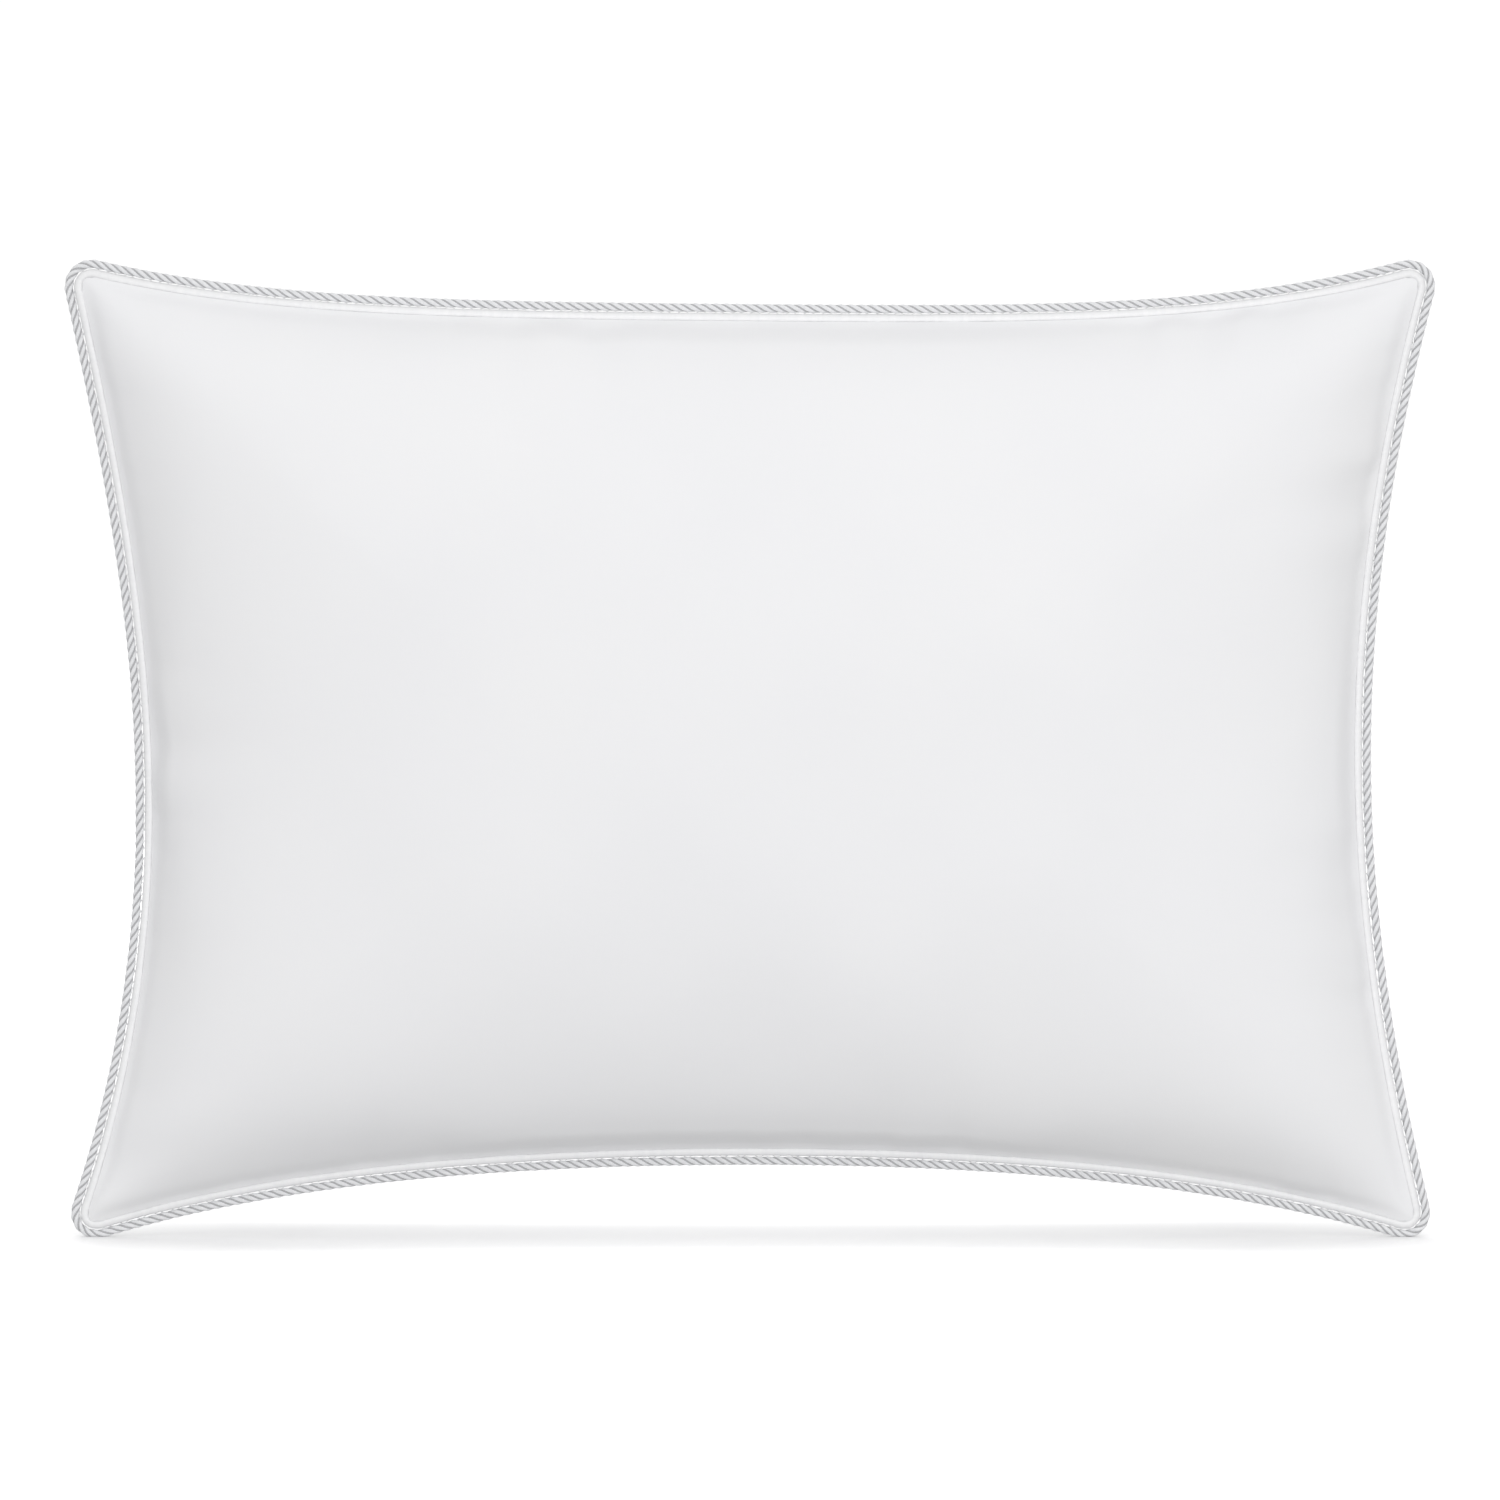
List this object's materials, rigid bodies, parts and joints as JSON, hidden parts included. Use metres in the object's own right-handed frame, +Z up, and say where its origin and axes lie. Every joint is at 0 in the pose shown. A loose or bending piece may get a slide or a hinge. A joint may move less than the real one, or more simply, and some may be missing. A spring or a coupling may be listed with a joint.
{
  "type": "bed pillow",
  "caption": "White rectangular bed pillow with plump middle, drawn-in sides and a piped edge with a twisted rope, standing upright on its lower corners.",
  "frame": {"origin": "on the floor under the middle of the pillow, in the plane of the seam, where the edge rope of the two lower corners stands", "axes": "+X along the pillow's length, +Y from the front cover to the back cover, +Z up"},
  "size_m": [0.685, 0.1762, 0.4908],
  "materials": {
    "cover_cotton": "matte",
    "wall_cotton": "matte",
    "soft_fibre": "matte",
    "core_fibre": "matte",
    "piping_satin": "satin",
    "core_cord": "matte",
    "rope_yarn": "satin",
    "thread": "satin",
    "label_satin": "satin"
  },
  "bodies": {
    "root": {"front_cover": "cover_cotton", "back_cover": "cover_cotton", "front_inner_wall": "wall_cotton", "back_inner_wall": "wall_cotton", "front_soft_filling": "soft_fibre", "back_soft_filling": "soft_fibre", "core_filling": "core_fibre", "piping_strip": "piping_satin", "piping_core": "core_cord", "edge_rope": "rope_yarn", "rope_thread": "thread", "seam_needle_thread": "thread", "seam_bobbin_thread": "thread", "closing_thread": "thread", "care_label": "label_satin"}
  },
  "joints": []
}
